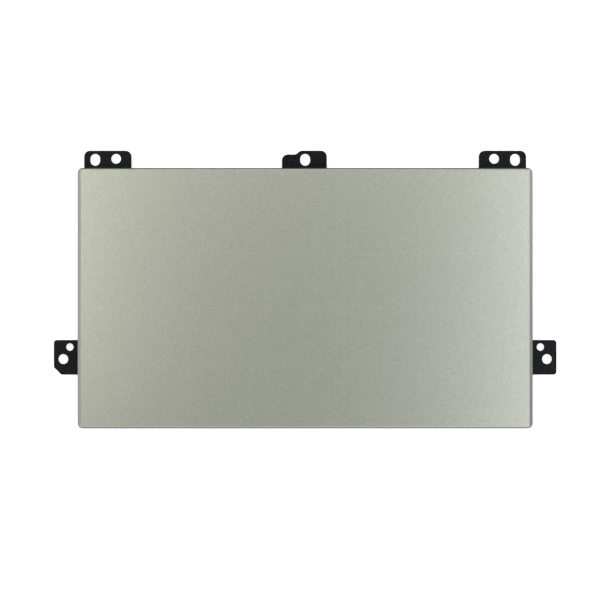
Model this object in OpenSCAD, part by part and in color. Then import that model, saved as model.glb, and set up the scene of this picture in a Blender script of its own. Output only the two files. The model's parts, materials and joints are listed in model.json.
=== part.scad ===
// Laptop clickpad module: a bevelled glass touch plate bonded to a sensor board, which two leaf
// hinges carry on a stamped steel bracket with five mounting tabs.
// Millimetres, +Z up, +Y towards the hinged back edge. The bracket's plate stands on Z = 0 and the
// origin is the centre of the overall footprint.

/* [Cover glass] */
// Width of the glass, left to right
pad_w = 115; // [106:0.5:130]
// Depth of the glass, front to back
pad_d = 65.8; // [60:0.2:80]
// Thickness of the glass
glass_t = 0.7; // [0.55:0.05:1.1]
// Corner radius of the glass
glass_corner_r = 1.2; // [0.6:0.1:4]
// Width of the bevel along the side edges
bevel_w = 0.85; // [0.2:0.05:1.2]
// Width of the bevel along the front and back edges
bevel_d = 0.5; // [0.2:0.05:1.2]
// Depth of the bevel at the edge of the glass
bevel_h = 0.3; // [0.1:0.05:0.45]

/* [Board] */
// Thickness of the adhesive sheet under the glass
adhesive_t = 0.1; // [0.05:0.05:0.2]
// Thickness of the sensor board
board_t = 0.8; // [0.6:0.1:1.2]
// Setback of the board and its adhesive from the edge of the glass
board_inset = 0.6; // [0.3:0.1:1.2]
// Clear height between the bracket's plate and the board
board_gap = 1; // [0.95:0.05:1.3]

/* [Bracket] */
// Thickness of the bracket's sheet
sheet_t = 0.4; // [0.3:0.05:0.6]
// Setback of the bracket's plate from the edge of the glass
bracket_inset = 1; // [0.5:0.1:2]
// Corner radius of the plate
plate_corner_r = 2; // [1:0.5:4]
// Width of the plate between its side edge and the first window
side_rail_w = 7.5; // [6.5:0.5:10]
// Depth of the plate between its front edge and the windows
front_rail_d = 11.9; // [10.5:0.1:15]
// Width of the windows
window_w = 11.5; // [6:0.5:12.5]
// Corner radius of the windows
window_r = 1.5; // [0.5:0.25:2.5]
// Width of the webs between the windows
web_w = 4; // [3.5:0.5:6]
// Width of the stiffening beads
bead_w = 2.4; // [1.8:0.1:3]
// Height of the beads over the plate
bead_h = 0.3; // [0.15:0.05:0.35]

/* [Back tabs] */
// How far the back tabs stand out past the glass
tab_reach = 4.55; // [3.9:0.05:7]
// Width of the two corner tabs
tab_w = 12; // [10.5:0.1:14]
// Corner radius of the back tabs
tab_r = 1.5; // [0.5:0.1:2]
// Setback of the corner tabs from the side edges of the glass
tab_inset = 1.4; // [1.3:0.1:6]
// From the outer edge of a corner tab to its slot's centre
slot_inset = 2.8; // [2.2:0.1:3.5]
// From the slot's centre to the round hole's centre
slot_to_hole = 5.3; // [4:0.05:6]
// From the tip of a tab to the edge of its holes
hole_margin = 0.8; // [0.5:0.05:1.2]
// Left end of the middle tab, from the centre line
middle_tab_left = 5.9; // [5:0.1:9]
// Right end of the middle tab, from the centre line
middle_tab_right = 5.5; // [4:0.05:9]
// Width of the low shoulder on the left of the middle tab
shoulder_w = 3.7; // [3:0.1:4]
// Drop of the low shoulder under the tip of the middle tab
shoulder_drop = 0.95; // [0.5:0.05:1.2]

/* [Side tabs] */
// How far the side tabs stand out past the glass
side_reach = 6.3; // [5.6:0.1:9]
// Width of the side tabs, front to back
side_tab_w = 8.8; // [8:0.1:12]
// From the front edge of the glass to the middle of the side tabs
side_tab_front = 17.9; // [16:0.1:26]
// Corner radius of the side tabs
side_tab_r = 0.75; // [0.3:0.05:1.2]
// Cut across the front corner of the left tab
side_tab_cut = 1.9; // [1.2:0.1:2.2]
// From the edge of the glass to the locating hole's centre
pin_reach = 2.25; // [1.6:0.05:2.3]
// From the edge of the glass to the side screw hole's centre
side_hole_reach = 3.9; // [3.4:0.05:4]
// From the middle of the side tab back to the locating hole's centre
pin_back = 2.6; // [2.2:0.1:2.6]
// From the middle of the side tab forward to the side screw hole's centre
side_hole_front = 0.45; // [0.2:0.05:0.8]

/* [Holes] */
// Diameter of the screw holes and width of the slots
screw_hole_d = 2.5; // [2.2:0.1:2.8]
// Length of the slots, front to back
slot_l = 3; // [2.9:0.1:3.4]
// Diameter of the locating holes
pin_hole_d = 1.9; // [1.5:0.1:2.1]

/* [Hinge] */
// From the back edge of the glass to the line that the pad tips about
hinge_back = 4.9; // [4.4:0.1:7]
// Free length of a hinge leaf, between the bracket's rail and the tape
flex_l = 1.6; // [1.2:0.1:2]
// Thickness of the leaves
leaf_t = 0.2; // [0.1:0.05:0.25]
// Thickness of the tape between a leaf and the board
tape_t = 0.1; // [0.05:0.05:0.15]
// Width of a leaf, left to right
leaf_w = 22; // [17:1:26]
// Depth of the part of a leaf that is taped to the board
leaf_land = 4.8; // [3.5:0.1:6]
// Width of each of the three necks that bend
neck_w = 4; // [2:0.5:5]

/* [Click switch] */
// From the front edge of the glass to the switch's centre
switch_front = 6.9; // [6:0.1:8]
// Width of the switch, left to right
switch_w = 6; // [5:0.1:7]
// Depth of the switch, front to back
switch_d = 5; // [4.6:0.1:6]
// Height of the switch's plastic base
switch_base_h = 0.42; // [0.38:0.01:0.45]
// Diameter of the snap dome
dome_d = 4.1; // [3.4:0.1:4.2]
// Diameter of the plunger's stem
plunger_d = 2; // [1.2:0.1:2.4]
// Height of the dimple on the bracket that the plunger meets
strike_h = 0.2; // [0.15:0.01:0.21]

/* [Cable connector] */
// Number of contacts
contacts = 8; // [4:1:12]
// Distance between contacts
contact_pitch = 0.5; // [0.4:0.05:0.6]
// Depth of the connector's housing, latch side to mouth
connector_d = 4.2; // [3.9:0.1:4.6]
// Height of the housing under the board
connector_h = 0.95; // [0.9:0.05:1.2]
// From the centre line to the connector's centre
connector_x = 8; // [7:0.5:10]

/* [Chips] */
// Side of the touch controller chip
controller_side = 7; // [5:0.5:8]
// Height of the touch controller chip
controller_h = 0.85; // [0.6:0.05:0.9]
// From the centre line to the controller's centre
controller_x = 8; // [7:0.5:9]
// From the back edge of the glass to the row of the larger parts
parts_back = 22.7; // [20:0.1:25]

/* [Bumpers] */
// Length of the foam bumpers, left to right
bumper_l = 14; // [8:0.5:20]
// Depth of the foam bumpers
bumper_d = 3; // [2:0.1:3.2]
// Height of the foam bumpers
bumper_h = 0.5; // [0.3:0.05:0.55]

/* [Hidden] */
$fn = 64;
joint = 0.01;      // overlap that makes two forms of one piece a single solid
spare = 1;         // length that a form stands past another that cuts it off
film_t = 0.1;      // insulating film
film_margin = 0.8; // from the film's edge to the edges of the plate and its windows
bend_root = 0.5;   // flat sheet that a step starts from
bend_relief = 0.8; // cut beside a side tab, so that it can be bent out of the plate
fit_gap = 0.05;    // between pieces that are put together or that move in one another
rest_gap = 0.02;   // between the plunger and the dimple at rest
seat_gap = 0.005;  // between the pieces that touch in the switch

// Levels, from the bracket's underside up
rail_rise = board_gap - leaf_t - tape_t;
rail_top = rail_rise + sheet_t;
board_z = sheet_t + board_gap;
adhesive_z = board_z + board_t;
glass_z = adhesive_z + adhesive_t;

// Lines from front to back, measured from the middle of the glass
back_y = pad_d / 2;
front_y = -pad_d / 2;
tip_y = back_y + tab_reach;
plate_front_y = front_y + bracket_inset;
rail_back_y = back_y - bracket_inset;
hinge_y = back_y - hinge_back;
rail_front_y = hinge_y + flex_l / 2;
bend_y = rail_front_y - rail_rise;
tape_back_y = hinge_y - flex_l / 2;
leaf_front_y = tape_back_y - leaf_land;
leaf_setback = 0.1;
leaf_back_y = rail_back_y - leaf_setback;
switch_y = front_y + switch_front;
side_tab_y = front_y + side_tab_front;
parts_y = back_y - parts_back;

// Lines from left to right
plate_half = pad_w / 2 - bracket_inset;
rail_half = pad_w / 2 - tab_inset;
tab_bend_in = 3;
tab_bend_x = plate_half - tab_bend_in;
leaf_end = 1.5;
leaf_x = rail_half - leaf_end - leaf_w / 2;

// Windows of the plate: a row on each side, one under each hinge leaf, and one in the middle for the
// connector and the chips, with room for the cable to bend down through it
window_clear = 0.9;
cable_run = 7;
window_front_y = plate_front_y + front_rail_d;
window_to_leaf = 2.4;
window_back_y = leaf_front_y - window_to_leaf;
window_d = window_back_y - window_front_y;
window_pitch = window_w + web_w;
hinge_window_side = 2;
hinge_window_w = leaf_w - 2 * hinge_window_side;
hinge_window_d = leaf_land - window_clear;
hinge_window_y = leaf_front_y + leaf_land / 2;

// Beads: one on each web, one beside the middle window and one along the front rail
bead_setback = 3;
web_bead_l = window_d - 2 * bead_setback;
front_bead_y = window_front_y - bead_setback;
front_bead_start = 9;
front_bead_l = plate_half - side_rail_w - front_bead_start;

// Click switch
switch_wall = 0.1;
switch_cover_t = 0.1;
switch_cover_z = board_z - switch_base_h - switch_cover_t;
switch_well_h = switch_base_h - switch_wall;
plunger_tip_z = sheet_t + strike_h + rest_gap;
plunger_flange_t = 0.07;
plunger_flange_w = 0.45;
plunger_flange_z = switch_cover_z + switch_cover_t + seat_gap;
plunger_flange_d = plunger_d + 2 * plunger_flange_w;
dome_t = 0.05;
dome_apex_z = plunger_flange_z + plunger_flange_t + seat_gap;
dome_h = board_z - switch_wall - dome_apex_z;
dome_r = (dome_d * dome_d / 4 + dome_h * dome_h) / (2 * dome_h);
dome_side_gap = 0.15;
strike_r = 4;

// Cable connector, with depths measured from the board down and Y from the latch side
contact_w = 0.2;
contact_t = 0.1;
contact_span = (contacts - 1) * contact_pitch;
cable_edge = 0.55;
cable_slot_w = contact_span + 2 * cable_edge;
cable_slot_h = 0.33;
cable_slot_top = 0.22;
cable_slot_start = 1.95;
connector_end = 2.2;
connector_w = contact_span + 2 * connector_end;
connector_setback = 5;
connector_y = parts_y - connector_setback;
ear_w = 0.6;
pocket_d = 1.75;
pocket_top = 0.3;
latch_t = 0.5;
latch_w = connector_w - 2 * ear_w - 2 * fit_gap;
latch_axis_y = 1.3;
latch_axis_depth = 0.62;
latch_back = 0.3;
trunnion_d = 0.3;
trunnion_bore_d = 0.36;
trunnion_setback = 0.15;
anchor_t = 0.12;
anchor_foot = 0.8;
anchor_l = 1.7;
anchor_setback = 0.55;

// Chips and the small parts beside them
part_gap = 1.05;
lead_t = 0.2;
lead_w = 0.24;
lead_l = 0.4;
lead_pitch = 0.5;
controller_lead_count = floor((controller_side - 2 * lead_pitch) / lead_pitch);
small_chip_h = 0.55;
chip_l = 1;
chip_w = 0.5;
cap_t = 0.22;
capacitor_h = 0.5;
capacitor_side_pitch = 1.6;
capacitor_back_pitch = 1.8;
capacitor_out = controller_side / 2 + part_gap + chip_w / 2;
resistor_h = 0.35;
resistor_pitch = 1.5;
resistor_x = connector_x + connector_w / 2 + anchor_foot + part_gap + chip_l / 2;
regulator_size = [2, 2];
regulator_leads = 3;
regulator_x = controller_x + capacitor_out + chip_w / 2 + part_gap + regulator_size[0] / 2;
surge_size = [2.5, 1.2];
surge_leads = 4;
surge_setback = 3;
surge_y = connector_y - surge_setback;

// Middle window: it clears the parts that stand in the gap, the latch as it opens, and the cable
middle_window_w = 2 * (max(regulator_x + regulator_size[0] / 2, resistor_x + chip_l / 2) + window_clear);
middle_window_front_y = connector_y - latch_back - window_clear;
middle_window_d = connector_y + connector_d + cable_run - middle_window_front_y;
windows = floor((plate_half - side_rail_w - middle_window_w / 2) / window_pitch);

// Moves a piece from the middle of the glass to the middle of the overall footprint
module in_place() {
  translate([0, -tab_reach / 2, 0]) children();
}

// Rectangle with round corners, centred
module round_rect(w, d, r) {
  square([w - 2 * r, d], center = true);
  square([w, d - 2 * r], center = true);
  for (sx = [-1, 1], sy = [-1, 1])
    translate([sx * (w / 2 - r), sy * (d / 2 - r)]) circle(r);
}

// Convex outline with round corners, from the corners' centres in counter-clockwise order
module round_outline(centres, r) {
  count = len(centres);
  polygon(centres);
  for (i = [0 : count - 1]) {
    a = centres[i];
    b = centres[(i + 1) % count];
    along = (b - a) / norm(b - a);
    out = [along[1], -along[0]] * r;
    polygon([a, a + out, b + out, b]);
    translate(a) circle(r);
  }
}

// Sheet with a 45 degree step up, as a section: it starts flat at 0 and rises where u = bend
module stepped_section(start, bend, finish) {
  set = sheet_t * tan(22.5);
  polygon([
    [start, 0], [bend, 0], [bend + rail_rise, rail_rise], [finish, rail_rise],
    [finish, rail_top], [bend + rail_rise - set, rail_top], [bend - set, sheet_t], [start, sheet_t],
  ]);
}

// Stiffening bead along X, with sloping sides and round ends
module bead(l, w, h) {
  rotate([90, 0, 90])
    linear_extrude(l - w, center = true)
      polygon([[-w / 2, 0], [w / 2, 0], [w / 2 - h, h], [h - w / 2, h]]);
  for (s = [-1, 1])
    translate([s * (l - w) / 2, 0, 0]) cylinder(h = h, r1 = w / 2, r2 = w / 2 - h);
}

// Outer edge of side window i, from the centre line
function window_edge(i) = plate_half - side_rail_w - i * window_pitch;

// Calls its child at the middle of each web that carries a bead
module at_web_beads() {
  for (s = [-1, 1]) {
    if (windows > 1)
      for (i = [1 : windows - 1])
        translate([s * (window_edge(i) + web_w / 2), window_front_y + window_d / 2]) rotate(90) children();
    translate([s * (middle_window_w + web_w) / 2, window_front_y + window_d / 2]) rotate(90) children();
  }
}

// Calls its child at the middle of each bead of the front rail
module at_front_beads() {
  for (s = [-1, 1])
    translate([s * (front_bead_start + front_bead_l / 2), front_bead_y]) children();
}

// Windows of the plate, each larger by grow on every side
module windows_plan(grow) {
  r = window_r + grow;
  for (s = [-1, 1]) {
    for (i = [0 : windows - 1])
      translate([s * (window_edge(i) - window_w / 2), window_front_y + window_d / 2])
        round_rect(window_w + 2 * grow, window_d + 2 * grow, r);
    translate([s * leaf_x, hinge_window_y])
      round_rect(hinge_window_w + 2 * grow, hinge_window_d + 2 * grow, r);
  }
  translate([0, middle_window_front_y + middle_window_d / 2])
    round_rect(middle_window_w + 2 * grow, middle_window_d + 2 * grow, r);
}

// Flat part of the plate, smaller by inset on every side, with its windows and the cuts for the side tabs
module plate_plan(inset) {
  d = bend_y + joint - plate_front_y - 2 * inset;
  difference() {
    union() {
      translate([0, plate_front_y + inset + d / 2])
        round_rect(2 * (plate_half - inset), d, plate_corner_r);
      if (inset == 0)
        translate([-rail_half, bend_y + joint - 2 * plate_corner_r])
          square([2 * rail_half, 2 * plate_corner_r]);
    }
    windows_plan(inset);
    for (s = [-1, 1])
      translate([s * (tab_bend_x - inset + side_reach), side_tab_y])
        square([2 * side_reach, side_tab_w + 2 * bend_relief + 2 * inset], center = true);
  }
}

// Round hole and slot of a corner tab, from the tab's outer edge inwards
module corner_holes() {
  translate([rail_half - slot_inset, tip_y - hole_margin - slot_l / 2])
    round_rect(screw_hole_d, slot_l, screw_hole_d / 2 - joint);
  translate([rail_half - slot_inset - slot_to_hole, tip_y - hole_margin - screw_hole_d / 2])
    circle(d = screw_hole_d);
}

module corner_tab_plan() {
  x0 = rail_half - tab_w + tab_r;
  x1 = rail_half - tab_r;
  y0 = rail_front_y + tab_r;
  y1 = tip_y - tab_r;
  round_outline([[x0, y0], [x1, y0], [x1, y1], [x0, y1]], tab_r);
}

// Middle tab: its left end is a low shoulder, with a small fillet where it steps up
module middle_tab_plan() {
  y0 = rail_front_y + tab_r;
  y1 = tip_y - tab_r;
  step_x = shoulder_w - middle_tab_left;
  shoulder_y = tip_y - shoulder_drop;
  foot_x = step_x + tab_r - sqrt(tab_r * tab_r - pow(tab_r - shoulder_drop, 2));
  fillet = 0.5;
  fillet_rise = 0.2;
  round_outline([
    [tab_r - middle_tab_left, y0], [middle_tab_right - tab_r, y0],
    [middle_tab_right - tab_r, y1 - shoulder_drop], [tab_r - middle_tab_left, y1 - shoulder_drop],
  ], tab_r);
  round_outline([
    [step_x + tab_r, y0], [middle_tab_right - tab_r, y0],
    [middle_tab_right - tab_r, y1], [step_x + tab_r, y1],
  ], tab_r);
  difference() {
    translate([foot_x - fillet, shoulder_y - fillet]) square([2 * fillet, fillet + fillet_rise]);
    translate([foot_x - fillet, shoulder_y + fillet]) circle(fillet);
  }
}

// Back rail and its three tabs, in plan
module rail_plan() {
  difference() {
    union() {
      translate([-rail_half, bend_y - bend_root]) square([2 * rail_half, rail_back_y - bend_y + bend_root]);
      corner_tab_plan();
      mirror([1, 0]) corner_tab_plan();
      middle_tab_plan();
    }
    corner_holes();
    mirror([1, 0]) corner_holes();
    translate([0, tip_y - hole_margin - slot_l / 2])
      round_rect(screw_hole_d, slot_l, screw_hole_d / 2 - joint);
  }
}

// Right side tab in plan, with the cut given across its front corner
module side_tab_plan(cut) {
  r = side_tab_r;
  x0 = tab_bend_x - bend_root;
  x1 = pad_w / 2 + side_reach - r;
  y0 = side_tab_y - side_tab_w / 2 + r;
  y1 = side_tab_y + side_tab_w / 2 - r;
  inner_cut = max(cut - r * (2 - sqrt(2)), joint);
  difference() {
    round_outline([[x0, y0], [x1 - inner_cut, y0], [x1, y0 + inner_cut], [x1, y1], [x0, y1]], r);
    translate([pad_w / 2 + pin_reach, side_tab_y + pin_back]) circle(d = pin_hole_d);
    translate([pad_w / 2 + side_hole_reach, side_tab_y - side_hole_front]) circle(d = screw_hole_d);
  }
}

// Right side tab, stepped up from the plate to the level of the rail
module side_tab(cut) {
  intersection() {
    translate([0, side_tab_y + side_tab_w / 2, 0])
      rotate([90, 0, 0])
        linear_extrude(side_tab_w)
          stepped_section(tab_bend_x - bend_root, tab_bend_x, pad_w / 2 + side_reach);
    linear_extrude(rail_top) side_tab_plan(cut);
  }
}

module back_rail() {
  intersection() {
    translate([-rail_half, 0, 0])
      rotate([90, 0, 90])
        linear_extrude(2 * rail_half)
          stepped_section(bend_y - bend_root, bend_y, tip_y);
    linear_extrude(rail_top) rail_plan();
  }
}

// One steel stamping: plate with windows and beads, stepped rail and tabs, and the dimple under the switch
module support_bracket() {
  bead_in = bead_w - 2 * sheet_t * tan(22.5);
  bead_end = bead_w - bead_in;
  color("#26282a") in_place() difference() {
    union() {
      linear_extrude(sheet_t) plate_plan(0);
      back_rail();
      side_tab(0);
      mirror([1, 0, 0]) side_tab(side_tab_cut);
      translate([0, 0, sheet_t - joint]) {
        at_web_beads() bead(web_bead_l, bead_w, bead_h + joint);
        at_front_beads() bead(front_bead_l, bead_w, bead_h + joint);
      }
      intersection() {
        translate([0, switch_y, sheet_t + strike_h - strike_r]) sphere(strike_r);
        translate([0, switch_y, sheet_t / 2]) cylinder(h = sheet_t, r = strike_r);
      }
    }
    translate([0, 0, -joint]) {
      at_web_beads() bead(web_bead_l - bead_end, bead_in, bead_h + joint);
      at_front_beads() bead(front_bead_l - bead_end, bead_in, bead_h + joint);
    }
    translate([0, switch_y, sheet_t + strike_h - strike_r]) sphere(strike_r - sheet_t);
  }
}

// Film that keeps the board's parts off the bracket, cut away round the windows, beads and dimple
module insulating_film() {
  color("#3a3c3e") in_place() translate([0, 0, sheet_t]) linear_extrude(film_t) difference() {
    plate_plan(film_margin);
    at_web_beads() round_rect(web_bead_l + film_margin, bead_w + film_margin, bead_w / 2);
    at_front_beads() round_rect(front_bead_l + film_margin, bead_w + film_margin, bead_w / 2);
    translate([0, switch_y]) circle(strike_r);
  }
}

// Section whose two slopes are the bevels of a pair of edges. It is open-ended below the glass.
module bevel_section(w, bevel) {
  top = w / 2 - bevel;
  foot = top + bevel * (glass_t + spare) / bevel_h;
  polygon([[-foot, -spare], [foot, -spare], [top, glass_t], [-top, glass_t]]);
}

// Glass plate with flat bevels, which meet in a mitre at its round corners
module cover_glass() {
  color("#a3a598") in_place() translate([0, 0, glass_z]) intersection() {
    linear_extrude(glass_t + spare) round_rect(pad_w, pad_d, glass_corner_r);
    rotate([90, 0, 90]) linear_extrude(pad_w + 2 * spare, center = true) bevel_section(pad_d, bevel_d);
    rotate([90, 0, 0]) linear_extrude(pad_d + 2 * spare, center = true) bevel_section(pad_w, bevel_w);
  }
}

module board_plan() {
  round_rect(pad_w - 2 * board_inset, pad_d - 2 * board_inset, glass_corner_r);
}

module glass_adhesive() {
  color("#d8d8d0") in_place() translate([0, 0, adhesive_z]) linear_extrude(adhesive_t) board_plan();
}

module sensor_board() {
  color("#1f5a3a") in_place() translate([0, 0, board_z]) linear_extrude(board_t) board_plan();
}

// Right hinge leaf: a land welded to the rail, a land taped to the board, and three necks that bend
module hinge_leaf() {
  gap_w = (leaf_w - 3 * neck_w) / 2;
  translate([leaf_x, 0, rail_top]) linear_extrude(leaf_t) difference() {
    translate([0, (leaf_front_y + leaf_back_y) / 2])
      round_rect(leaf_w, leaf_back_y - leaf_front_y, 1);
    for (s = [-1, 1])
      translate([s * (neck_w + gap_w) / 2, hinge_y]) round_rect(gap_w, flex_l, flex_l / 2 - joint);
  }
}

module hinge_leaf_left() {
  color("#b9bcc0") in_place() mirror([1, 0, 0]) hinge_leaf();
}

module hinge_leaf_right() {
  color("#b9bcc0") in_place() hinge_leaf();
}

module hinge_tape() {
  margin = 0.4;
  translate([leaf_x, tape_back_y - leaf_land / 2, rail_top + leaf_t])
    linear_extrude(tape_t) round_rect(leaf_w - 2 * margin, leaf_land - 2 * margin, 0.6);
}

module hinge_tape_left() {
  color("#e3dcc6") in_place() mirror([1, 0, 0]) hinge_tape();
}

module hinge_tape_right() {
  color("#e3dcc6") in_place() hinge_tape();
}

// Right foam bumper, on the film at the front corner
module bumper() {
  margin = 1.4;
  translate([plate_half - plate_corner_r - margin - bumper_l / 2, plate_front_y + margin + bumper_d / 2])
    translate([0, 0, sheet_t + film_t])
      linear_extrude(bumper_h) round_rect(bumper_l, bumper_d, 0.5);
}

module bumper_left() {
  color("#4a4a4c") in_place() mirror([1, 0, 0]) bumper();
}

module bumper_right() {
  color("#4a4a4c") in_place() bumper();
}

// Calls its child at each lead along one edge, with Y outwards from the chip's middle
module at_leads(count, edge) {
  for (i = [0 : count - 1])
    translate([(i - (count - 1) / 2) * lead_pitch, edge]) children();
}

// Leads of a chip under the board: on the edges across Y, and also across X where all_round is true
module leads(size, count, all_round) {
  turns = all_round ? [0, 90, 180, 270] : [0, 180];
  for (turn = turns)
    translate([0, 0, board_z - lead_t]) rotate(turn) linear_extrude(lead_t)
      at_leads(count, size[1] / 2 - lead_l / 2) square([lead_w, lead_l], center = true);
}

// Moulded body of a chip, with seats for its leads and a round mark at its first lead
module chip(size, h, count, all_round) {
  mark_r = 0.25;
  mark_inset = 0.6;
  mark_depth = 0.05;
  difference() {
    translate([0, 0, board_z - h / 2]) cube([size[0], size[1], h], center = true);
    leads(size, count, all_round);
    translate([mark_inset - size[0] / 2, size[1] / 2 - mark_inset, board_z - h - joint])
      cylinder(h = mark_depth + joint, r = mark_r);
  }
}

module touch_controller() {
  color("#202224") in_place() translate([-controller_x, parts_y, 0])
    chip([controller_side, controller_side], controller_h, controller_lead_count, true);
}

module controller_leads() {
  color("#c9c6bd") in_place() translate([-controller_x, parts_y, 0])
    leads([controller_side, controller_side], controller_lead_count, true);
}

module voltage_regulator() {
  color("#202224") in_place() translate([-regulator_x, parts_y, 0])
    chip(regulator_size, small_chip_h, regulator_leads, false);
}

module surge_protector() {
  color("#202224") in_place() translate([connector_x, surge_y, 0])
    chip(surge_size, small_chip_h, surge_leads, false);
}

module small_chip_leads() {
  color("#c9c6bd") in_place() {
    translate([-regulator_x, parts_y, 0]) leads(regulator_size, regulator_leads, false);
    translate([connector_x, surge_y, 0]) leads(surge_size, surge_leads, false);
  }
}

// Chip part with a metal cap round each end, lying along X
module chip_part(h) {
  plating = 0.02;
  translate([0, 0, board_z - h / 2]) {
    cube([chip_l - cap_t, chip_w - 2 * plating, h - 2 * plating], center = true);
    for (s = [-1, 1])
      translate([s * (chip_l - cap_t) / 2, 0, 0]) cube([cap_t, chip_w, h], center = true);
  }
}

module capacitors() {
  color("#b39a78") in_place() translate([-controller_x, parts_y, 0]) for (i = [-1.5 : 1.5]) {
    for (s = [-1, 1])
      translate([s * capacitor_out, i * capacitor_side_pitch, 0]) rotate(90) chip_part(capacitor_h);
    translate([i * capacitor_back_pitch, capacitor_out, 0]) chip_part(capacitor_h);
  }
}

module resistors() {
  color("#2b2d30") in_place() translate([resistor_x, parts_y, 0]) for (i = [-2 : 2])
    translate([0, i * resistor_pitch, 0]) chip_part(resistor_h);
}

// Moves a piece of the connector to its place: Y from its latch side, Z down from the board
module connector_place() {
  translate([connector_x, connector_y, board_z]) mirror([0, 0, 1]) children();
}

// Extrudes a section drawn in Y and depth along X, centred
module along_x(w) {
  rotate([90, 0, 90]) linear_extrude(w, center = true) children();
}

// Calls its child at the middle of each contact
module at_contacts() {
  for (i = [0 : contacts - 1])
    translate([(i - (contacts - 1) / 2) * contact_pitch, 0, 0]) children();
}

// Housing with a flared slot for the cable, a groove for each contact, and ears that carry the latch
module connector_housing() {
  slot_end = cable_slot_top + cable_slot_h;
  flare = 0.1;
  flare_y = connector_d - 0.4;
  groove_end = 0.6;
  color("#e8e2d2") in_place() connector_place() difference() {
    translate([-connector_w / 2, 0, 0]) cube([connector_w, connector_d, connector_h]);
    along_x(cable_slot_w) polygon([
      [cable_slot_start, cable_slot_top], [flare_y, cable_slot_top],
      [connector_d + joint, cable_slot_top - flare], [connector_d + joint, slot_end + flare],
      [flare_y, slot_end], [cable_slot_start, slot_end],
    ]);
    translate([-connector_w / 2 + ear_w, -joint, pocket_top])
      cube([connector_w - 2 * ear_w, pocket_d + joint, connector_h]);
    at_contacts() translate([-contact_w / 2 - rest_gap, -joint, -joint])
      cube([contact_w + 2 * rest_gap, connector_d - groove_end, cable_slot_top + 2 * joint]);
    translate([0, latch_axis_y, latch_axis_depth])
      rotate([0, 90, 0]) cylinder(h = connector_w + 2 * ear_w, d = trunnion_bore_d, center = true);
  }
}

// Spring contacts: a tail on the board, a beam in the housing and a tip that reaches into the slot
module connector_contacts() {
  beam_top = cable_slot_top - contact_t;
  tip_y0 = connector_d - 1.1;
  color("#d9b866") in_place() connector_place() at_contacts() along_x(contact_w) polygon([
    [-0.7, 0], [0.2, 0], [0.4, beam_top], [tip_y0, beam_top], [tip_y0 + 0.15, beam_top + 0.06],
    [tip_y0 + 0.3, beam_top], [tip_y0 + 0.4, beam_top], [tip_y0 + 0.4, cable_slot_top],
    [tip_y0 + 0.3, cable_slot_top], [tip_y0 + 0.15, cable_slot_top + 0.06], [tip_y0, cable_slot_top],
    [0.35, cable_slot_top], [0.15, contact_t], [-0.7, contact_t],
  ]);
}

// Metal anchors, each a foot on the board and a wall against the end of the housing
module connector_anchors() {
  wall_h = 0.5;
  end_y = connector_d - anchor_setback;
  color("#c9c6bd") in_place() connector_place() for (s = [-1, 1])
    translate([s * connector_w / 2, end_y, 0]) rotate([90, 0, 0]) linear_extrude(anchor_l)
      scale([s, 1]) polygon([
        [0, 0], [anchor_foot, 0], [anchor_foot, anchor_t],
        [anchor_t, anchor_t], [anchor_t, wall_h], [0, wall_h],
      ]);
}

// Flip latch: a bar with a round pivot edge and a trunnion at each end
module connector_latch() {
  color("#3b2f28") in_place() connector_place() translate([0, latch_axis_y, latch_axis_depth]) {
    along_x(latch_w) {
      circle(d = latch_t);
      translate([-latch_axis_y - latch_back, -latch_t / 2]) square([latch_axis_y + latch_back, latch_t]);
    }
    rotate([0, 90, 0]) cylinder(h = connector_w - 2 * trunnion_setback, d = trunnion_d, center = true);
  }
}

// Moves a piece to the switch's centre
module switch_place() {
  translate([0, switch_y, 0]) children();
}

// Four terminals, flat under the board and standing out at the switch's sides
module switch_terminals_form() {
  terminal = [1, 0.7, 0.12];
  out = 0.1;
  from_corner = 0.7;
  for (sx = [-1, 1], sy = [-1, 1])
    translate([sx * (switch_w / 2 + out), sy * (switch_d / 2 - from_corner), board_z - terminal[2] / 2])
      cube(terminal, center = true);
}

// Base with a round well for the dome
module switch_base() {
  color("#2a2a2c") in_place() switch_place() difference() {
    translate([0, 0, board_z - switch_base_h]) linear_extrude(switch_base_h)
      square([switch_w, switch_d], center = true);
    translate([0, 0, board_z - switch_base_h - joint])
      cylinder(h = switch_well_h + joint, d = dome_d + 2 * dome_side_gap);
    switch_terminals_form();
  }
}

module switch_terminals() {
  color("#c9c6bd") in_place() switch_place() switch_terminals_form();
}

// Thin shell that snaps, its middle towards the plunger and its rim in the well
module switch_dome() {
  rim_z = board_z - switch_wall;
  color("#c4c7ca") in_place() switch_place() intersection() {
    translate([0, 0, dome_apex_z + dome_r]) difference() {
      sphere(dome_r);
      sphere(dome_r - dome_t);
    }
    translate([0, 0, rim_z - dome_h]) cylinder(h = dome_h, d = 2 * dome_d);
  }
}

// Cover plate with a hole for the plunger, folded over the front and back of the base
module switch_cover() {
  skirt = 0.3;
  side_setback = 0.2;
  skirt_setback = 1.2;
  color("#b4b7ba") in_place() switch_place() {
    translate([0, 0, switch_cover_z]) linear_extrude(switch_cover_t) difference() {
      square([switch_w - 2 * side_setback, switch_d + 2 * switch_cover_t], center = true);
      circle(d = plunger_d + 2 * fit_gap);
    }
    for (s = [-1, 1])
      translate([0, s * (switch_d + switch_cover_t) / 2, switch_cover_z + (skirt + switch_cover_t) / 2])
        cube([switch_w - 2 * skirt_setback, switch_cover_t, skirt + switch_cover_t], center = true);
  }
}

// Plunger: a stem through the cover plate, with a flange that keeps it in
module switch_plunger() {
  tip_bevel = 0.08;
  top_z = plunger_flange_z + plunger_flange_t;
  color("#e6e2d8") in_place() switch_place() rotate_extrude() polygon([
    [0, plunger_tip_z], [plunger_d / 2 - tip_bevel, plunger_tip_z],
    [plunger_d / 2, plunger_tip_z + tip_bevel], [plunger_d / 2, plunger_flange_z],
    [plunger_flange_d / 2, plunger_flange_z], [plunger_flange_d / 2, top_z], [0, top_z],
  ]);
}

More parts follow.
